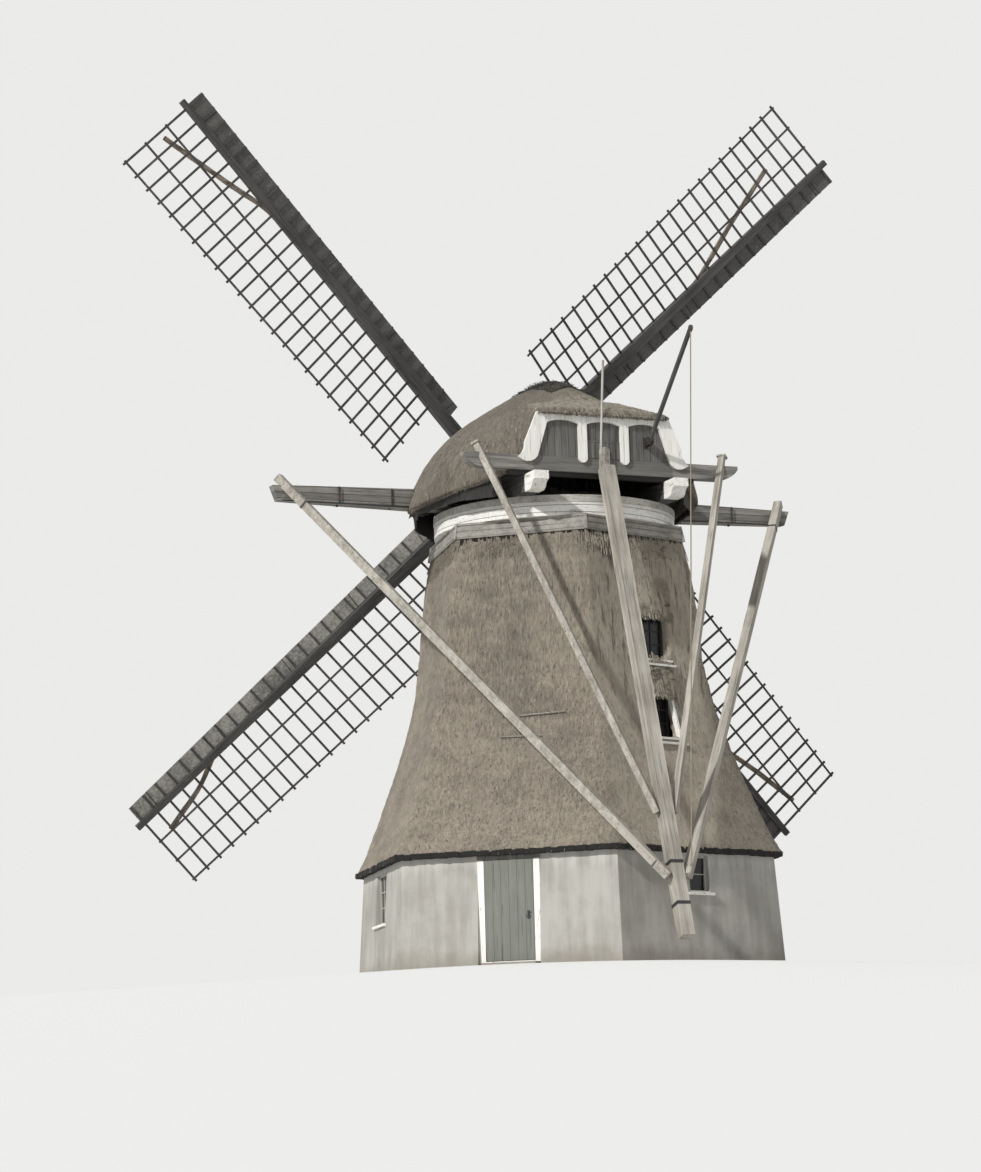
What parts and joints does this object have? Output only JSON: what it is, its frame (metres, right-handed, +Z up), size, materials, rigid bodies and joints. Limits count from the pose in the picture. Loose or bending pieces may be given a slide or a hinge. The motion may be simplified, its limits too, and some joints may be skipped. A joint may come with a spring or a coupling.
{
  "type": "thatched windmill",
  "caption": "Hexagonal thatched smock mill on a plastered masonry foot, with a turning boat-shaped cap, tail pole and four lattice sails.",
  "frame": {"origin": "centre of the masonry foot at ground level", "axes": "+Z up, -Y out through the door, +X through the corner of the foot to the right of the door's facet"},
  "size_m": [15.8232, 15.3872, 21.7638],
  "materials": {
    "plaster": "matt, weathered",
    "floor": "worn brick",
    "thatch": "matt, weathered reed",
    "grey_wood": "weathered, unpainted",
    "white_wood": "old paint",
    "dark_wood": "tarred",
    "door_wood": "painted boards",
    "glass": "old panes",
    "canvas": "rolled sailcloth",
    "rope": "laid hemp",
    "iron": "painted"
  },
  "bodies": {
    "tower": {"ground_floor": "floor", "wall_door_left": "plaster", "wall_door_right": "plaster", "wall_door_head": "plaster", "wall_left": "plaster", "wall_right": "plaster", "wall_back_right": "plaster", "wall_back": "plaster", "wall_back_left": "plaster", "door_frame": "white_wood", "window_frames": "white_wood", "window_glass": "glass", "thatch_left": "thatch", "thatch_door_side": "thatch", "thatch_right": "thatch", "thatch_back_right": "thatch", "thatch_back": "thatch", "thatch_back_left": "thatch", "head_boards": "grey_wood", "head_frame": "grey_wood", "curb_ring": "white_wood"},
    "door": {"door_leaf": "door_wood"},
    "cap": {"cap_ring": "grey_wood", "sheers": "grey_wood", "cap_thatch_left": "thatch", "cap_thatch_right": "thatch", "cap_soffit": "dark_wood", "gable_boards": "dark_wood", "gable_trim": "white_wood", "front_boards": "dark_wood", "shaft_beams": "grey_wood", "long_beam": "grey_wood", "short_beam": "grey_wood", "tail_pole": "grey_wood", "long_braces": "grey_wood", "short_braces": "grey_wood", "staff": "white_wood", "lever_bracket": "iron"},
    "sails": {"windshaft": "iron", "stock_outer": "dark_wood", "stock_inner": "dark_wood", "lattice_top_right": "dark_wood", "lattice_top_left": "dark_wood", "lattice_low_left": "dark_wood", "lattice_low_right": "dark_wood", "windboards": "dark_wood", "sailcloths": "canvas"},
    "brake_lever": {"brake_lever": "iron"},
    "brake_rope": {"brake_rope": "rope"}
  },
  "joints": [
    {"name": "door_swing", "type": "hinge", "parent": "tower", "child": "door", "pos_m": [-0.54, -4.211, 1.2], "axis": [0, 0, 1], "range_deg": [0, 90]},
    {"name": "cap_turn", "type": "hinge", "parent": "tower", "child": "cap", "pos_m": [0, 0, 10.479], "axis": [0, 0, 1], "continuous": true},
    {"name": "sail_spin", "type": "hinge", "parent": "cap", "child": "sails", "pos_m": [-2.2289, 2.6005, 12.094], "axis": [-0.632, 0.7374, 0.2385], "continuous": true},
    {"name": "lever_swing", "type": "hinge", "parent": "cap", "child": "brake_lever", "pos_m": [2.83438, -1.66273, 11.884], "axis": [0.7593, 0.6508, 0], "range_deg": [0, 24]},
    {"name": "rope_swing", "type": "hinge", "parent": "brake_lever", "child": "brake_rope", "pos_m": [4.31749, -3.39311, 13.977], "axis": [0.7593, 0.6508, 0], "range_deg": [-24, 0]}
  ],
  "couplings": [
    {"joint": "rope_swing", "follows": "lever_swing", "ratio": -1}
  ]
}
